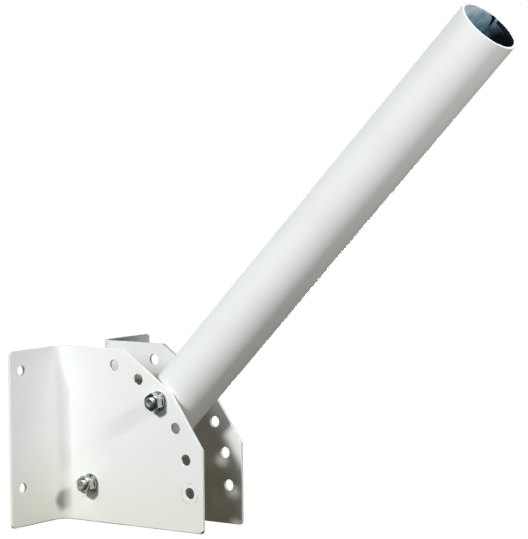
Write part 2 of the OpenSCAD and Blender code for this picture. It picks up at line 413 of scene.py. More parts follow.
def side_plate_blank():
    """The flat, punched plate as patches.

    Each of the nine holes has a cell round it, the cells meet along shared points, plain strips lie between
    the web and the flange where the bend comes, and the edge profile goes round the outline.
    """
    path, outward, start = side_plate_outline()
    turn = around_pivot(path, start)
    inset = path - EDGE_INSET * outward
    apart = 1e-4

    def between(low, high):
        """Points of the inset outline between two angles, without its ends."""
        return inset[(turn > low + apart) & (turn < high - apart)]

    outer_turn = around_pivot(directions(CELL_OUTER_ANGLES), start)
    outer_points = inset[np.argmin(np.abs(turn[None] - outer_turn[:, None]), axis=1)]
    inner_points = CELL_INNER_RADIUS * directions(CELL_INNER_ANGLES)
    spokes = (outer_points - inner_points)[:, None]
    borders = inner_points[:, None] + CELL_SIDE_SHARES[None, :, None] * spokes
    arc_turns = CELL_INNER_ANGLES[:-1, None] + CELL_ARC_SHARES * np.diff(CELL_INNER_ANGLES)[:, None]
    arcs = CELL_INNER_RADIUS * directions(arc_turns)

    patches = []
    for i, angle in enumerate(INDEX_ANGLES):
        outside = between(outer_turn[i], outer_turn[i + 1])
        border = np.concatenate([arcs[i, ::-1], borders[i, 1:], outside, borders[i + 1, :0:-1]])
        patches.append(punched_cell(border, INDEX_RADIUS * directions(angle), HOLE_RADIUS, SHEET))

    bend_line = on_blank(0.0, HEIGHT_STEPS)
    border = np.concatenate([
        between(start, outer_turn[0]),
        borders[0, ::-1],
        arcs[:, :-1].reshape(-1, 2)[1:],
        borders[-1],
        between(outer_turn[-1], around_pivot(on_blank(0.0, PLATE_TOP), start)),
        bend_line[::-1],
    ])
    patches.append(punched_cell(border, np.zeros(2), HOLE_RADIUS, SHEET))

    split = on_blank(FLANGE_STEPS, FLANGE_SPLIT)
    root = on_blank(-BEND_LENGTH, HEIGHT_STEPS)
    top_turn = around_pivot(on_blank(-BEND_LENGTH, PLATE_TOP), start)
    split_turn = around_pivot(on_blank(BLANK_END, FLANGE_SPLIT), start)
    base_turn = around_pivot(on_blank(-BEND_LENGTH, PLATE_BASE), start)
    lower_root = root[HEIGHT_STEPS < FLANGE_SPLIT]
    upper_root = root[HEIGHT_STEPS >= FLANGE_SPLIT]
    lower_border = np.concatenate([lower_root, split[::-1], between(split_turn, base_turn)])
    upper_border = np.concatenate([upper_root, between(top_turn, split_turn), split[:-1]])
    for border, height in zip((lower_border, upper_border), WALL_HOLE_HEIGHTS):
        centre = on_blank(BLANK_END + WALL_HOLE_EDGE, height)
        patches.append(punched_cell(border, centre, WALL_HOLE_RADIUS, SHEET))

    for on_back in (False, True):
        bend_columns = BEND_LINES - PIVOT_ON_BLANK[0]
        patches.append(flat_grid(bend_columns, HEIGHT_STEPS - PIVOT_ON_BLANK[1], on_back))
    patches.append(along_edge(path, outward, SHEET))
    return patches


def fold(points, normals):
    """Folds the flat plate into the left side plate.

    Past the bend line a point turns about the bend's axis by its distance over the bend's middle radius, up
    to a right angle, and what is left of the distance goes straight on along the wall.
    """
    across = points[:, 0] + PIVOT_ON_BLANK[0]
    height = points[:, 1] + PIVOT_ON_BLANK[1]
    turn = np.clip(-across / BEND_MIDDLE, 0.0, np.pi / 2)
    radius = BEND_INNER + points[:, 2]
    beyond = np.maximum(-across - BEND_LENGTH, 0.0)
    x = BEND_END + np.maximum(across, 0.0) - radius * np.sin(turn)
    y = -WEB_OUTER - BEND_INNER + radius * np.cos(turn) - beyond
    along = np.stack([np.cos(turn), np.sin(turn), np.zeros_like(turn)], axis=-1)
    inward = np.stack([-np.sin(turn), np.cos(turn), np.zeros_like(turn)], axis=-1)
    upward = np.array([0.0, 0.0, 1.0])
    world = normals[:, :1] * along + normals[:, 1:2] * upward + normals[:, 2:] * inward
    return np.stack([x, y, height], axis=-1), world


def mast_frame():
    """Axis of the mast, and the two directions across it, to the right and up."""
    tilt = np.radians(MAST_ANGLE)
    axis = np.array([np.cos(tilt), 0.0, np.sin(tilt)])
    right = np.array([0.0, 1.0, 0.0])
    return axis, right, np.cross(axis, right)


def roll(points, normals):
    """Rolls a flat sheet into the mast: across becomes an angle round the axis, and depth goes inwards."""
    axis, right, upper = mast_frame()
    angle = points[:, :1] / MAST_RADIUS
    radial = np.cos(angle) * right + np.sin(angle) * upper
    around = np.cos(angle) * upper - np.sin(angle) * right
    world = PIVOT + points[:, 1:2] * axis + (MAST_RADIUS - points[:, 2:]) * radial
    return world, normals[:, :1] * around + normals[:, 1:2] * axis - normals[:, 2:] * radial


def mast_wall(across):
    """Wall of the mast over the sheet: even, with the low hump of the weld bead inside; and its slope."""
    bore_share = MAST_BORE / MAST_RADIUS
    from_seam = (across - np.radians(SEAM_ANGLE) * MAST_RADIUS) * bore_share / SEAM_HALF_WIDTH
    on_bead = np.abs(from_seam) < 1.0
    hump = np.where(on_bead, 1.0 - from_seam ** 2, 0.0)
    slope = np.where(on_bead, -2.0 * from_seam * bore_share / SEAM_HALF_WIDTH, 0.0)
    return MAST_WALL + SEAM_RISE * hump, SEAM_RISE * slope


def mast_sheet():
    """The mast as a flat sheet: front and back faces with four bolt holes, and both ends rounded."""
    seam = SEAM_ANGLE + np.degrees(SEAM_HALF_WIDTH / MAST_BORE) * SEAM_SHARES
    angles = np.unique(np.round(np.concatenate([np.arange(-90.0, 270.0, MAST_TURN_STEP), seam]), 6))
    across = np.radians(angles) * MAST_RADIUS
    along = np.concatenate([
        [MAST_TAIL + EDGE_INSET],
        MAST_CELL_STEPS,
        MAST_LOWER_STEPS,
        INDEX_RADIUS + MAST_CELL_STEPS,
        MAST_UPPER_STEPS,
    ])
    wall, slope = mast_wall(across)

    row_mid = (along[:-1] + along[1:]) / 2
    column_mid = (angles + np.append(angles[1:], angles[0] + 360.0)) / 2
    solid = np.ones((len(along) - 1, len(angles)), bool)
    patches = []
    for side, height in [(side, height) for side in (0.0, 180.0) for height in (0.0, INDEX_RADIUS)]:
        rows = np.abs(row_mid - height) < MAST_CELL_HALF
        columns = np.abs(column_mid - side) < MAST_CELL_ANGLE
        solid &= ~(rows[:, None] & columns[None])
        up = along[np.abs(along - height) <= MAST_CELL_HALF + TINY]
        over = across[np.abs(angles - side) <= MAST_CELL_ANGLE + TINY]
        border = np.concatenate([
            np.stack([over, np.full_like(over, up[0])], axis=-1)[:-1],
            np.stack([np.full_like(up, over[-1]), up], axis=-1)[:-1],
            np.stack([over, np.full_like(over, up[-1])], axis=-1)[:0:-1],
            np.stack([np.full_like(up, over[0]), up], axis=-1)[:0:-1],
        ])
        centre = np.array([np.radians(side) * MAST_RADIUS, height])
        patches.append(punched_cell(border, centre, HOLE_RADIUS, MAST_WALL))

    upright, around = np.meshgrid(along, across, indexing="ij")
    for on_back in (False, True):
        depth = np.broadcast_to(on_back * wall, upright.shape)
        lean = np.broadcast_to(-on_back * slope, upright.shape)
        facing = np.full_like(lean, 1.0 if on_back else -1.0)
        normals = np.stack([lean, np.zeros_like(lean), facing], axis=-1)
        normals = normals / np.linalg.norm(normals, axis=-1, keepdims=True)
        points = np.stack([around, upright, depth], axis=-1)
        faces = grid_faces(len(along), len(angles), closed=True, flip=on_back)[solid.reshape(-1)]
        patches.append(Patch(points, normals, np.zeros(upright.shape), faces))
    for end, sign in ((MAST_MOUTH, 1), (MAST_TAIL, -1)):
        path = np.stack([across, np.full_like(across, end)], axis=-1)[::-sign]
        patches.append(along_edge(path, np.broadcast_to([0.0, sign], path.shape), wall[::-sign]))
    return patches


def join_patches(patches):
    """All patches as one set of points, normals, edge values and faces."""
    sizes = [patch.edge.size for patch in patches]
    offsets = np.concatenate([[0], np.cumsum(sizes)[:-1]])
    points = np.concatenate([patch.points.reshape(-1, 3) for patch in patches])
    normals = np.concatenate([patch.normals.reshape(-1, 3) for patch in patches])
    edge = np.concatenate([patch.edge.reshape(-1) for patch in patches])
    faces = np.concatenate([patch.faces + offset for patch, offset in zip(patches, offsets)])
    return points, normals, edge, faces


def weld(points, normals, edge, faces):
    """Points that lie within a thousandth of a millimetre become one.

    Faces that lose a corner by it go, and so do points that no face uses. The shift keeps round sizes away
    from the places where the rounding goes over.
    """
    steps, shift = 1000.0, 0.137
    key = np.round(points * steps + shift).astype(np.int64)
    _, first, same = np.unique(key, axis=0, return_index=True, return_inverse=True)
    faces = same.reshape(-1)[faces]
    whole = np.all(faces != np.roll(faces, 1, axis=1), axis=1)
    used, faces = np.unique(faces[whole], return_inverse=True)
    kept = first[used]
    return points[kept], normals[kept], edge[kept], faces.reshape(-1, 4)


def from_flat(angles):
    """Angle from the middle of the nearest flat of a hexagon."""
    return np.mod(angles + HEX_SECTOR / 2, HEX_SECTOR) - HEX_SECTOR / 2


def hexagon_radius(angles):
    """Radius of a hexagon over the angle: half its width over the cosine, with its corners cut a little."""
    cut = np.cos(np.radians(HEX_CORNER_CUT))
    return HEX_FLATS / 2 / np.maximum(np.cos(np.radians(from_flat(angles))), cut)


def hexagon_chamfer(angles):
    """Height at which a cone that stands on the circle of the face meets the hexagon's sides."""
    return (hexagon_radius(angles) - HEX_FACE) * np.tan(np.radians(HEX_CHAMFER))


def hexagon_corner(angles):
    """How near an angle lies to a corner of the hexagon: 0 over the flats, and 1 at the corner."""
    past_flat = np.abs(from_flat(angles)) - HEX_CORNER_WORN
    return np.clip(past_flat / (HEX_CORNER_CUT - HEX_CORNER_WORN), 0.0, 1.0)


def stack_rows(rows, angles):
    """A profile from rows of radius, height and wear, each a number or one value for each angle."""
    radius, height, worn = (
        np.stack([value * np.ones_like(angles) for value in column]) for column in zip(*rows)
    )
    return Profile(radius, height, worn, angles)


def bolt_rows():
    """Profile of a bolt from the dimple in its end to the recess in its head; heights count from the head.

    Over the thread the radius is the outer one less the depth times a trapezoid wave, whose phase is the
    height over the pitch less the angle over a full turn. The wave rises from the crests with a given
    slope, and fades out at the shank. A cone trims the end.
    """
    angles = HEX_ANGLES
    rise = np.arange(0.0, THREAD_LENGTH, THREAD_STEP)[:, None]
    phase = np.mod(rise / THREAD_PITCH - angles[None] / 360.0, 1.0)
    wave = np.clip(THREAD_SLOPE * (THREAD_CREST - np.abs(phase - 0.5)), 0.0, 1.0)
    wave = wave * np.clip((THREAD_LENGTH - rise) / THREAD_PITCH / 2, 0.0, 1.0)
    shank = BOLT_RADIUS - BOLT_LOOSE
    radius = np.minimum(shank - THREAD_DEPTH * wave, shank - BOLT_END_CUT + rise)
    thread = Profile(radius, np.broadcast_to(rise, radius.shape), 0.7 * (1.0 - wave), angles)

    dimple = stack_rows(BOLT_DIMPLE, angles)
    hexagon = hexagon_radius(angles)
    corner = hexagon_corner(angles)
    head_top = BOLT_LENGTH + HEAD_HEIGHT
    first_rise, last_rise = HEAD_EDGE_RISES
    head = stack_rows([
        (shank, THREAD_LENGTH, 0.0),
        (shank, BOLT_LENGTH - BOLT_FILLET, 0.0),
        (shank + BOLT_FILLET, BOLT_LENGTH, 0.0),
        (HEAD_BEARING, BOLT_LENGTH, 0.0),
        (hexagon - HEAD_EDGE_CUT, BOLT_LENGTH + first_rise, 0.5 * corner),
        (hexagon, BOLT_LENGTH + last_rise, corner),
        (hexagon, head_top - hexagon_chamfer(angles), corner),
        (HEX_FACE, head_top, 0.7),
        (HEAD_RIM, head_top, 0.0),
        (HEAD_FLOOR, head_top - HEAD_RECESS, 0.0),
    ], angles)
    radius, height, worn = (np.concatenate(parts) for parts in zip(dimple[:3], thread[:3], head[:3]))
    return Profile(radius, height - BOLT_LENGTH, worn, angles)


def nut_rows():
    """Closed profile of a nut: hexagon sides cut by cones at both ends, and a bore with two lead-ins."""
    angles = HEX_ANGLES
    hexagon = hexagon_radius(angles)
    chamfer = hexagon_chamfer(angles)
    corner = hexagon_corner(angles)
    lead_radius = NUT_BORE + NUT_LEAD_WIDTH
    return stack_rows([
        (HEX_FACE, 0.0, 0.5),
        (hexagon, chamfer, corner),
        (hexagon, NUT_HEIGHT - chamfer, corner),
        (HEX_FACE, NUT_HEIGHT, 0.6),
        (lead_radius, NUT_HEIGHT, 0.2),
        (NUT_BORE, NUT_HEIGHT - NUT_LEAD_DEPTH, 0.0),
        (NUT_BORE, NUT_LEAD_DEPTH, 0.0),
        (lead_radius, 0.0, 0.0),
    ], angles)


def rounded_ring_rows(inner, outer, thick, rounding, angles):
    """Closed profile of a flat ring: a box between two radii whose four corners are quarter circles."""
    corners = np.array([
        [outer - rounding, thick - rounding],
        [inner + rounding, thick - rounding],
        [inner + rounding, rounding],
        [outer - rounding, rounding],
    ])
    facing = np.arange(0.0, 360.0, 90.0)[:, None] + QUARTER_STEPS
    rows = (corners[:, None] + rounding * directions(facing)).reshape(-1, 2)
    worn = np.sin(np.radians(2.0 * facing)) ** 2 * np.array([1.0, 0.0, 0.0, 1.0])[:, None]
    return stack_rows(np.column_stack([rows, worn.reshape(-1)]), angles)


def round_axis(outward, degrees):
    """Unit vectors at right angles to an axis along Y, at the given angles round it."""
    spin = directions(degrees)
    right = np.array([1.0, 0.0, 0.0])
    return spin[..., :1] * right + spin[..., 1:] * np.cross(outward, right)


def turned(profile, origin, outward, turn, closed_profile=True):
    """A turned piece: a profile of radii and heights carried round an axis through the origin.

    The profile has one row for each of its points and one column for each angle. An open profile gets a
    flat face over its first and its last row.
    """
    radial = round_axis(outward, profile.angles + turn)
    points = origin + profile.height[..., None] * outward + profile.radius[..., None] * radial
    rows, columns = profile.radius.shape
    faces = (grid_faces(rows + closed_profile, columns, closed=True) % (rows * columns)).tolist()
    if not closed_profile:
        ring = np.arange(columns)
        faces += [ring[::-1].tolist(), (ring + (rows - 1) * columns).tolist()]
    return points.reshape(-1, 3), profile.worn.reshape(-1), faces


def spring_washer(origin, outward, turn):
    """A split washer: a square profile carried round its axis, rising a little, with slanted cut ends."""
    share = SPRING_SHARES
    profile = rounded_ring_rows(WASHER_BORE, SPRING_OUTER, SPRING_THICK - SPRING_RISE, SPRING_ROUND, share)
    slanted = SPRING_SLANT * (profile.height / SPRING_THICK - 0.5)
    spin = SPRING_SLIT / 2 + (360.0 - SPRING_SLIT) * share + slanted
    radial = round_axis(outward, spin + turn)
    lift = profile.height + SPRING_RISE * share
    points = origin + lift[..., None] * outward + profile.radius[..., None] * radial
    rows, columns = lift.shape
    faces = (grid_faces(rows + 1, columns) % (rows * columns)).tolist()
    ring = np.arange(rows) * columns
    faces += [ring.tolist(), (ring[::-1] + columns - 1).tolist()]
    return points.reshape(-1, 3), profile.worn.reshape(-1), faces


def make_mesh(name, points, edge, faces):
    """A mesh from points in millimetres, with a value at each point that says how much it is an edge."""
    mesh = bpy.data.meshes.new(name)
    mesh.from_pydata((points * MM).tolist(), [], faces)
    mesh.update()
    worn = mesh.attributes.new("edge", "FLOAT", "POINT")
    worn.data.foreach_set("value", edge.astype(np.float32))
    return mesh


def add_object(name, data):
    """A new object in the scene, for a mesh, a camera or a lamp."""
    added = bpy.data.objects.new(name, data)
    bpy.context.scene.collection.objects.link(added)
    return added


def add_piece(mesh, body, node, materials):
    """Puts a finished mesh in the scene, on its body and in place of its solid."""
    piece = add_object(mesh.name, mesh)
    for material in materials:
        mesh.materials.append(material)
    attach(piece, body)
    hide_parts(node)


def sheet_mesh(name, points, normals, edge, faces):
    """A sheet-metal mesh that keeps the normals worked out with its points."""
    mesh = make_mesh(name, points, edge, faces.tolist())
    mesh.normals_split_custom_set_from_vertices(normals.tolist())
    return mesh


def add_side_plates(coat):
    """The left plate, folded from its blank, and the right plate, which is its mirror image."""
    points, normals, edge, faces = weld(*join_patches(side_plate_blank()))
    points, normals = fold(points, normals)
    mirror = np.array([1.0, -1.0, 1.0])
    left = sheet_mesh("left_plate_folded", points, normals, edge, faces)
    right = sheet_mesh("right_plate_folded", points * mirror, normals * mirror, edge, faces[:, ::-1])
    add_piece(left, "bracket", "left_plate", [coat])
    add_piece(right, "bracket", "right_plate", [coat])


def add_mast(coat, bore):
    """The mast, rolled from its sheet; the faces that lie on the bore take the second material."""
    points, normals, edge, faces = join_patches(mast_sheet())
    points, normals = roll(points, normals)
    points, normals, edge, faces = weld(points, normals, edge, faces)
    axis, _, _ = mast_frame()
    from_axis = np.linalg.norm(np.cross(points - PIVOT, axis), axis=1)
    inside = np.all(from_axis[faces] < MAST_BORE + EDGE_ROUND / 2, axis=1)
    tube = sheet_mesh("mast_tube_rolled", points, normals, edge, faces)
    tube.polygons.foreach_set("material_index", inside.astype(np.int32))
    add_piece(tube, "mast", "mast_tube", [coat, bore])


def add_bolt_set(name, place, head_body, nut_body, turns, bolt_zinc, nut_zinc):
    """A bolt with its head washer on the right, and washer, spring washer and nut on the left."""
    at_head = place + WEB_OUTER * HEAD_SIDE
    at_nut = place + WEB_OUTER * NUT_SIDE
    under_head = at_head + WASHER_THICK * HEAD_SIDE
    above_washer = at_nut + WASHER_THICK * NUT_SIDE
    above_spring = at_nut + (WASHER_THICK + SPRING_THICK) * NUT_SIDE
    flat_ring = rounded_ring_rows(WASHER_BORE, WASHER_OUTER, WASHER_THICK, WASHER_ROUND, ROUND_ANGLES)
    pieces = {
        "bolt": (head_body, turned(bolt_rows(), under_head, HEAD_SIDE, turns.head, closed_profile=False)),
        "head_washer": (head_body, turned(flat_ring, at_head, HEAD_SIDE, 0.0)),
        "washer": (nut_body, turned(flat_ring, at_nut, NUT_SIDE, 0.0)),
        "spring_washer": (nut_body, spring_washer(above_washer, NUT_SIDE, turns.slit)),
        "nut": (nut_body, turned(nut_rows(), above_spring, NUT_SIDE, turns.nut)),
    }
    for piece, (body, (points, edge, faces)) in pieces.items():
        node = name + "_" + piece
        mesh = make_mesh(node + "_turned", points, edge, faces)
        mesh.set_sharp_from_angle(angle=np.radians(SHARP_ANGLE))
        add_piece(mesh, body, node, [bolt_zinc if piece == "bolt" else nut_zinc])


def feed(tree, node, inputs):
    """Gives each named input of a node its value, or links it to the socket of another node."""
    for name, value in inputs.items():
        if isinstance(value, bpy.types.NodeSocket):
            tree.links.new(value, node.inputs[name])
        else:
            node.inputs[name].default_value = value


def add_node(tree, kind, inputs, **settings):
    """A shader node with its settings and inputs."""
    node = tree.nodes.new("ShaderNode" + kind)
    for name, value in settings.items():
        setattr(node, name, value)
    feed(tree, node, inputs)
    return node


def combine(tree, operation, *values):
    """The result of a math node on values or sockets."""
    return add_node(tree, "Math", dict(enumerate(values)), operation=operation).outputs[0]


def measure(tree, operation, *vectors):
    """The single value that a vector node gives, such as a length or a distance."""
    return add_node(tree, "VectorMath", dict(enumerate(vectors)), operation=operation).outputs["Value"]


def remap(tree, value, source, target=(0.0, 1.0)):
    """A value taken smoothly from the source range to the target range, and held at its ends."""
    inputs = {
        "Value": value,
        "From Min": source[0],
        "From Max": source[1],
        "To Min": target[0],
        "To Max": target[1],
    }
    return add_node(tree, "MapRange", inputs, interpolation_type="SMOOTHSTEP").outputs["Result"]


def mix_colors(tree, share, first, second):
    """The first colour where the share is 0, and the second where it is 1."""
    inputs = {"Factor": share, "A": first, "B": second}
    return add_node(tree, "Mix", inputs, data_type="RGBA").outputs["Result"]


def noise(tree, vector, scale, detail=2.0, roughness=0.5):
    """Noise from 0 to 1, with most of it near the middle."""
    inputs = {"Vector": vector, "Scale": scale, "Detail": detail, "Roughness": roughness}
    return add_node(tree, "TexNoise", inputs).outputs["Fac"]


def bump(tree, height, relief):
    """The normal of a surface with the given height, where a height of 1 is so many millimetres."""
    return add_node(tree, "Bump", {"Height": height, "Distance": relief * MM}).outputs["Normal"]


def new_group(name, labels, output):
    """An empty node group with a Vector input, named value inputs and one value output."""
    tree = bpy.data.node_groups.new(name, "ShaderNodeTree")
    tree.interface.new_socket("Vector", in_out="INPUT", socket_type="NodeSocketVector")
    for label in labels:
        tree.interface.new_socket(label, in_out="INPUT", socket_type="NodeSocketFloat")
    tree.interface.new_socket(output, in_out="OUTPUT", socket_type="NodeSocketFloat")
    given = tree.nodes.new("NodeGroupInput").outputs
    result = tree.nodes.new("NodeGroupOutput").inputs[output]
    return tree, given, result


def use_group(tree, group, **values):
    """Places a node group in a material with its own values, and gives its one output."""
    inputs = {label.replace("_", " ").title(): value for label, value in values.items()}
    return add_node(tree, "Group", inputs, node_tree=group).outputs[0]


def make_relief_group():
    """Height of a surface: a coarse noise that goes over into a fine one by the fine share."""
    labels = ["Coarse Scale", "Fine Scale", "Fine Share"]
    tree, given, result = new_group("surface_relief", labels, "Height")
    coarse = noise(tree, given["Vector"], given["Coarse Scale"])
    fine = noise(tree, given["Vector"], given["Fine Scale"])
    step = combine(tree, "SUBTRACT", fine, coarse)
    tree.links.new(combine(tree, "MULTIPLY_ADD", step, given["Fine Share"], coarse), result)
    return tree


def make_soiling_group():
    """Mask of dirt: soft clouds of a wide noise, and specks where a narrow noise is at its highest."""
    labels = ["Cloud Scale", "Cloud Amount", "Speck Scale", "Speck Amount"]
    tree, given, result = new_group("soiling", labels, "Mask")
    wide = noise(tree, given["Vector"], given["Cloud Scale"], detail=5.0, roughness=0.6)
    narrow = noise(tree, given["Vector"], given["Speck Scale"], detail=1.0)
    clouds = remap(tree, wide, source=(0.4, 0.75))
    specks = remap(tree, narrow, source=(0.7, 0.76))
    speck_part = combine(tree, "MULTIPLY", specks, given["Speck Amount"])
    tree.links.new(combine(tree, "MULTIPLY_ADD", clouds, given["Cloud Amount"], speck_part), result)
    return tree


def make_wear_group():
    """Mask of rubbed spots: where the edge value times a ragged noise is over one less the amount."""
    tree, given, result = new_group("edge_wear", ["Edge", "Scale", "Amount"], "Mask")
    ragged = noise(tree, given["Vector"], given["Scale"], detail=4.0, roughness=0.65)
    kept = combine(tree, "SUBTRACT", 1.0, given["Amount"])
    worn = combine(tree, "SUBTRACT", combine(tree, "MULTIPLY", given["Edge"], ragged), kept)
    tree.links.new(remap(tree, worn, source=(0.0, 0.06)), result)
    return tree


def make_streak_group():
    """Height of drawn metal: a noise that is stretched along the first coordinate."""
    tree, given, result = new_group("drawn_streaks", ["Scale"], "Height")
    stretch = (0.02, 1.0, 1.0)
    drawn = add_node(tree, "VectorMath", {0: given["Vector"], 1: stretch}, operation="MULTIPLY")
    tree.links.new(noise(tree, drawn.outputs["Vector"], given["Scale"], detail=3.0, roughness=0.6), result)
    return tree


def new_finish(name):
    """A new material: its node tree, its shader, the place on the piece and the edge value there."""
    material = bpy.data.materials.new(name)
    material.use_nodes = True
    tree = material.node_tree
    place = add_node(tree, "TexCoord", {}).outputs["Object"]
    edge = add_node(tree, "Attribute", {}, attribute_name="edge").outputs["Fac"]
    return material, tree, tree.nodes["Principled BSDF"], place, edge


def along_mast(tree, place):
    """Place on the mast with its first coordinate along the axis."""
    turn = (0.0, np.radians(MAST_ANGLE), 0.0)
    return add_node(tree, "Mapping", {"Vector": place, "Rotation": turn}).outputs["Vector"]


def in_metres(lengths):
    """A place or a range in metres, from millimetres."""
    return tuple(np.array(lengths) * MM)


def near_point(tree, place, point, reach):
    """Mask that is 1 round a point, starts to fall at the first distance and is 0 at the second."""
    return remap(tree, measure(tree, "DISTANCE", place, in_metres(point)), in_metres(reach), FALLING)


def distance_along(tree, place, direction, origin):
    """How far a place lies from an origin along a direction, in metres."""
    from_zero = measure(tree, "DOT_PRODUCT", place, tuple(direction))
    return combine(tree, "SUBTRACT", from_zero, origin @ direction * MM)


def mark_plates(tree, place, color):
    """Marks, painted warm light and painted shade on the plates' coat.

    A painted warm tint of bounce light grows towards the lower edges, which have a dark line in patches.
    Painted shade lies low on the inner faces of the webs, behind the mast, and thins out to their front
    edges. On the left plate a washer has left its broken print round the lowest index hole, a nib of coat
    stands on the flange, and the lower front corner is knocked dark.
    """
    parts = add_node(tree, "SeparateXYZ", {0: place}).outputs
    # Painted warm bounce light: the coat turns warmer towards the lower edges
    warm_bounce = remap(tree, parts["Z"], in_metres((PLATE_BASE, 0.0)), target=(0.45, 0.0))
    color = mix_colors(tree, warm_bounce, color, COAT_PAINTED_WARM_BOUNCE)

    # Painted shade, cloudy, low on the inner faces of the webs behind the mast, fading towards their front
    # edges
    from_middle = combine(tree, "ABSOLUTE", parts["Y"])
    inside = remap(tree, from_middle, in_metres((WEB_OUTER - SHEET, WEB_OUTER - SHEET / 2)), FALLING)
    inner_shade = combine(tree, "MULTIPLY", inside, near_point(tree, place, INNER_SHADE_CENTRE, INNER_SHADE_REACH))
    clouds = noise(tree, place, scale=30.0, detail=4.0)
    clouded = remap(tree, clouds, source=(0.3, 0.7), target=(0.65, 0.95))
    color = mix_colors(tree, combine(tree, "MULTIPLY", inner_shade, clouded), color, COAT_PAINTED_SHADE)

    hole = (PIVOT[0] + INDEX_RADIUS, -WEB_OUTER, PIVOT[2])
    disc = near_point(tree, place, hole, PRINT_OUTER)
    ring = combine(tree, "SUBTRACT", disc, near_point(tree, place, hole, PRINT_INNER))
    broken = remap(tree, noise(tree, place, scale=330.0), source=(0.42, 0.6), target=(0.0, 0.5))
    color = mix_colors(tree, combine(tree, "MULTIPLY", ring, broken), color, PRINT_GREY)
    color = mix_colors(tree, near_point(tree, place, COAT_NIB, NIB_REACH), color, COAT_THICK)

    # A dark line in patches along the lower edges of the plates
    lower_edge = remap(tree, parts["Z"], in_metres(PLATE_BASE + LOWER_EDGE_REACH), FALLING)
    patchy = remap(tree, noise(tree, place, scale=45.0), source=(0.35, 0.65), target=(0.35, 0.8))
    color = mix_colors(tree, combine(tree, "MULTIPLY", lower_edge, patchy), color, STEEL_DARK)
    corner = (PIVOT[0] + EDGE_DISTANCE[1], -WEB_OUTER, PLATE_BASE)
    return mix_colors(tree, near_point(tree, place, corner, CORNER_REACH), color, STEEL_DARK)


def white_coat(name, wear_amount, on_mast=False):
    """White powder coat: orange peel, a little soiling, and edges rubbed through to the steel in places."""
    material, tree, shader, place, edge = new_finish(name)
    height = use_group(
        tree, relief_group, vector=place,
        coarse_scale=240.0, fine_scale=850.0, fine_share=0.4,
    )
    dirt = use_group(
        tree, soiling_group, vector=place,
        cloud_scale=22.0, cloud_amount=0.25, speck_scale=420.0, speck_amount=0.3,
    )
    bare = use_group(tree, wear_group, vector=place, edge=edge, scale=210.0, amount=wear_amount)
    color = mix_colors(tree, dirt, COAT_WHITE, COAT_SOILED)
    if on_mast:
        streaks = use_group(tree, streak_group, vector=along_mast(tree, place), scale=420.0)
        height = combine(tree, "MULTIPLY_ADD", streaks, MAST_STREAKS, height)
    else:
        color = mark_plates(tree, place, color)
    feed(tree, shader, {
        "Base Color": mix_colors(tree, bare, color, STEEL_BARE),
        "Roughness": remap(tree, dirt, source=(0.0, 0.8), target=(0.4, 0.58)),
        "Specular IOR Level": 0.12,
        "Normal": bump(tree, height, COAT_RELIEF),
    })
    return material


def bead_shadow_mask(tree, place, inward):
    """Mask of painted shadow at the weld bead and along the rim below it, for a place and its depth.

    Above the bead the shadow's reach from the edge of the bead falls with the depth as a hyperbola: their
    product is the same all along. Below it the painted shadow keeps to the first millimetres of the bore.
    """
    _, right, upper = mast_frame()
    angle = np.radians(SEAM_ANGLE) + SEAM_HALF_WIDTH / MAST_BORE
    around = np.cos(angle) * upper - np.sin(angle) * right
    edge = PIVOT + MAST_BORE * (np.cos(angle) * right + np.sin(angle) * upper)
    reach = distance_along(tree, place, around, edge)
    product = combine(tree, "MULTIPLY", reach, combine(tree, "ADD", inward, MM))
    shadowed = remap(tree, product, tuple(np.array(BEAD_SHADOW_PRODUCT) * MM ** 2), FALLING)
    shadowed = combine(tree, "MULTIPLY", shadowed, remap(tree, reach, in_metres(BEAD_SHADOW_START)))
    shadowed = combine(tree, "MULTIPLY", shadowed, remap(tree, inward, in_metres(BEAD_SHADOW_DEPTHS), FALLING))
    below = remap(tree, reach, in_metres(RIM_SHADE_START), FALLING)
    rim_shade = combine(tree, "MULTIPLY", below, remap(tree, inward, in_metres(RIM_SHADE_DEPTHS), FALLING))
    return combine(tree, "MAXIMUM", shadowed, rim_shade)


def bore_steel():
    """Uncoated inside of the mast: blue-grey steel with streaks along it.

    Painted light makes the upper side pale near the mouth, and painted shade darkens the lower side.
    The level of a place says which of them it has: its height in the bore, changed by streaks, specks and
    the painted shadow at the weld bead, and lowered with the depth as painted shade.
    """
    material, tree, shader, place, _ = new_finish("bore_steel")
    axis, _, upper = mast_frame()
    streaks = use_group(tree, streak_group, vector=along_mast(tree, place), scale=300.0)
    specks = use_group(
        tree, soiling_group, vector=place,
        cloud_scale=90.0, cloud_amount=0.3, speck_scale=700.0, speck_amount=0.3,
    )
    from_axis = distance_along(tree, place, upper, PIVOT)
    mouth = (PIVOT @ axis + MAST_MOUTH) * MM
    inward = combine(tree, "SUBTRACT", mouth, measure(tree, "DOT_PRODUCT", place, tuple(axis)))
    # The level is the height in the bore: painted light above, painted shade below and deeper in
    level = combine(tree, "DIVIDE", from_axis, MAST_BORE * MM)
    level = combine(tree, "MULTIPLY_ADD", streaks, STREAK_LEVEL, level)
    level = combine(tree, "SUBTRACT", level, specks)
    level = combine(tree, "SUBTRACT", level, remap(tree, inward, in_metres(DEPTH_SHADE_DEPTHS), DEPTH_SHADE_LEVELS))
    # Painted shadow beside the weld bead and along the rim below it
    level = combine(tree, "MULTIPLY_ADD", bead_shadow_mask(tree, place, inward), PAINTED_SHADOW_LEVEL, level)
    color = mix_colors(tree, remap(tree, level, SHADE_TO_STEEL_LEVELS), BORE_PAINTED_SHADE, BORE_STEEL)
    feed(tree, shader, {
        "Base Color": mix_colors(tree, remap(tree, level, PAINTED_LIGHT_LEVELS), color, BORE_PAINTED_LIGHT),
        "Metallic": 0.1,
        "Roughness": remap(tree, level, SHADE_TO_STEEL_LEVELS, target=(0.45, 0.7)),
        "Specular IOR Level": 0.2,
        "Normal": bump(tree, streaks, BORE_RELIEF),
    })
    return material


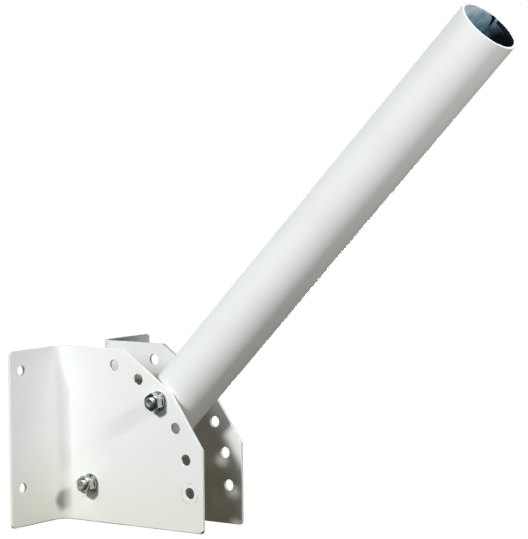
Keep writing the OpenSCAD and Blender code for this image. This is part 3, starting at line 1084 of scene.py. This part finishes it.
def zinc_plate(name, smoothest, roughest):
    """Zinc plating: blue to straw in colour, tumbled, dull in places and brighter on rubbed edges."""
    material, tree, shader, place, edge = new_finish(name)
    height = use_group(
        tree, relief_group, vector=place,
        coarse_scale=600.0, fine_scale=2600.0, fine_share=0.5,
    )
    dull = use_group(
        tree, soiling_group, vector=place,
        cloud_scale=150.0, cloud_amount=0.9, speck_scale=1400.0, speck_amount=0.5,
    )
    rubbed = use_group(tree, wear_group, vector=place, edge=edge, scale=700.0, amount=0.65)
    straw = remap(tree, noise(tree, place, scale=130.0), source=(0.35, 0.65))
    color = mix_colors(tree, straw, ZINC_BLUE, ZINC_STRAW)
    color = mix_colors(tree, dull, color, ZINC_DULL)
    feed(tree, shader, {
        "Base Color": mix_colors(tree, rubbed, color, ZINC_RUBBED),
        "Metallic": 1.0,
        "Roughness": remap(tree, dull, source=(0.0, 1.0), target=(smoothest, roughest)),
        "Normal": bump(tree, height, ZINC_RELIEF),
    })
    return material


def add_camera():
    """The photographed view: place, direction and focal length come from a fit to edges of the object."""
    azimuth, elevation, lean = np.radians(CAMERA_ANGLES)
    back = Vector((
        np.sin(azimuth) * np.cos(elevation), -np.cos(azimuth) * np.cos(elevation), np.sin(elevation),
    ))
    right = Vector((0.0, 0.0, 1.0)).cross(back).normalized()
    up = back.cross(right)
    turned_right = np.cos(lean) * right + np.sin(lean) * up
    turned_up = np.cos(lean) * up - np.sin(lean) * right
    data = bpy.data.cameras.new("photo_camera")
    data.sensor_width = SENSOR_WIDTH
    data.lens = FOCAL_PIXELS * SENSOR_WIDTH / PHOTO_HEIGHT
    camera = add_object("photo_camera", data)
    placed = Matrix((turned_right, turned_up, back)).transposed().to_4x4()
    placed.translation = Vector(CAMERA_PLACE)
    camera.matrix_world = placed
    bpy.context.scene.camera = camera


def add_softbox(name, aim, toward, distance, width, height, energy, spread=180.0, tint=(1.0, 1.0, 1.0)):
    """An upright softbox that looks at a point from a direction. The camera itself doesn't see it.

    Lengths are in metres. The spread is the angle of its beam in degrees, which is narrow behind a grid.
    """
    data = bpy.data.lights.new(name, "AREA")
    data.shape = "RECTANGLE"
    data.size = width
    data.size_y = height
    data.energy = energy
    data.spread = np.radians(spread)
    data.color = tint
    lamp = add_object(name, data)
    direction = Vector(toward).normalized()
    lamp.location = Vector(aim) + direction * distance
    lamp.rotation_euler = direction.to_track_quat("Z", "Y").to_euler()
    lamp.visible_camera = False


def behind_bracket(tree, toward):
    """How far a direction points to the backdrop: 0 on the camera's side, and 1 behind the bracket."""
    length = measure(tree, "LENGTH", toward)
    facing = combine(tree, "DIVIDE", measure(tree, "DOT_PRODUCT", toward, BACKDROP_SIDE), length)
    return remap(tree, facing, BACKDROP_EDGE)


def mirrored_rays(tree, path):
    """Mask that is 1 for what shows in metal or glass."""
    return combine(tree, "MAXIMUM", path["Is Glossy Ray"], path["Is Transmission Ray"])


def add_floor():
    """A pale floor well under the bracket.

    What the eye sees of it glows, and more so with the distance from the bracket, so that it runs into the
    white background and still keeps the shadow. In metal it glows faintly, and only behind the bracket. The
    colour that it throws back on the bracket as light is a darker and warmer one.
    """
    square = np.array([[-1.0, -1.0], [1.0, -1.0], [1.0, 1.0], [-1.0, 1.0]])
    corners = np.column_stack([square * FLOOR_HALF, np.full(len(square), FLOOR_HEIGHT)])
    mesh = bpy.data.meshes.new("floor")
    mesh.from_pydata(corners.tolist(), [], [[0, 1, 2, 3]])
    floor = add_object("floor", mesh)
    material, tree, shader, place, _ = new_finish("pale_floor")
    mesh.materials.append(material)
    path = add_node(tree, "LightPath", {}).outputs
    faint = combine(tree, "MULTIPLY", behind_bracket(tree, place), MIRRORED_GLOW)
    mirrored = combine(tree, "MULTIPLY", mirrored_rays(tree, path), faint)
    seen = combine(tree, "MAXIMUM", path["Is Camera Ray"], mirrored)
    glow = remap(tree, measure(tree, "LENGTH", place), GLOW_DISTANCES, GLOW_LEVELS)
    feed(tree, shader, {
        "Base Color": mix_colors(tree, path["Is Camera Ray"], FLOOR_AS_LIGHT, FLOOR_PALE),
        "Roughness": 0.9,
        "Emission Color": BACKDROP_WHITE,
        "Emission Strength": combine(tree, "MULTIPLY", seen, glow),
    })


def add_world():
    """White background as the eye sees it, also in metal where it stands behind the bracket.

    The room on the camera's side is dim in metal, and as light the world is only a faint warm fill.
    """
    world = bpy.data.worlds.new("studio")
    bpy.context.scene.world = world
    world.use_nodes = True
    tree = world.node_tree
    path = add_node(tree, "LightPath", {}).outputs
    toward = add_node(tree, "TexCoord", {}).outputs["Generated"]
    backdrop = mix_colors(tree, behind_bracket(tree, toward), ROOM_DIM, BACKDROP_WHITE)
    color = mix_colors(tree, mirrored_rays(tree, path), WARM_FILL, backdrop)
    color = mix_colors(tree, path["Is Camera Ray"], color, BACKDROP_WHITE)
    feed(tree, tree.nodes["Background"], {"Color": color})


relief_group = make_relief_group()
soiling_group = make_soiling_group()
wear_group = make_wear_group()
streak_group = make_streak_group()
bolt_zinc = zinc_plate("bolt_zinc", smoothest=0.38, roughest=0.52)
nut_zinc = zinc_plate("nut_zinc", smoothest=0.18, roughest=0.34)
pivot_turns = Turns(nut=8.0, slit=70.0, head=12.0)
lock_turns = Turns(nut=2.0, slit=115.0, head=40.0)
lock = PIVOT + INDEX_RADIUS * mast_frame()[0]

add_side_plates(white_coat("plate_coat", wear_amount=0.36))
add_mast(white_coat("mast_coat", wear_amount=0.34, on_mast=True), bore_steel())
add_bolt_set("pivot", PIVOT, "bracket", "bracket", pivot_turns, bolt_zinc, nut_zinc)
add_bolt_set("lock", lock, "lock_bolt_set", "lock_nut_set", lock_turns, bolt_zinc, nut_zinc)

add_camera()
add_floor()
add_world()
add_softbox(
    "left_softbox", aim=(0.13, 0.0, -0.03), toward=(-0.126, -0.843, 0.523), distance=1.65,
    width=0.28, height=0.18, energy=8.8, spread=110.0, tint=(0.98, 1.0, 1.02),
)
add_softbox(
    "right_softbox", aim=(0.05, 0.0, -0.03), toward=(0.862, -0.15, 0.484), distance=1.5,
    width=0.26, height=0.2, energy=14.7,
)
add_softbox(
    "back_softbox", aim=(0.1, 0.0, 0.0), toward=(-0.45, 0.893, 0.0), distance=1.5,
    width=0.5, height=0.5, energy=14.4, spread=140.0,
)
bpy.context.scene.view_settings.view_transform = "Standard"
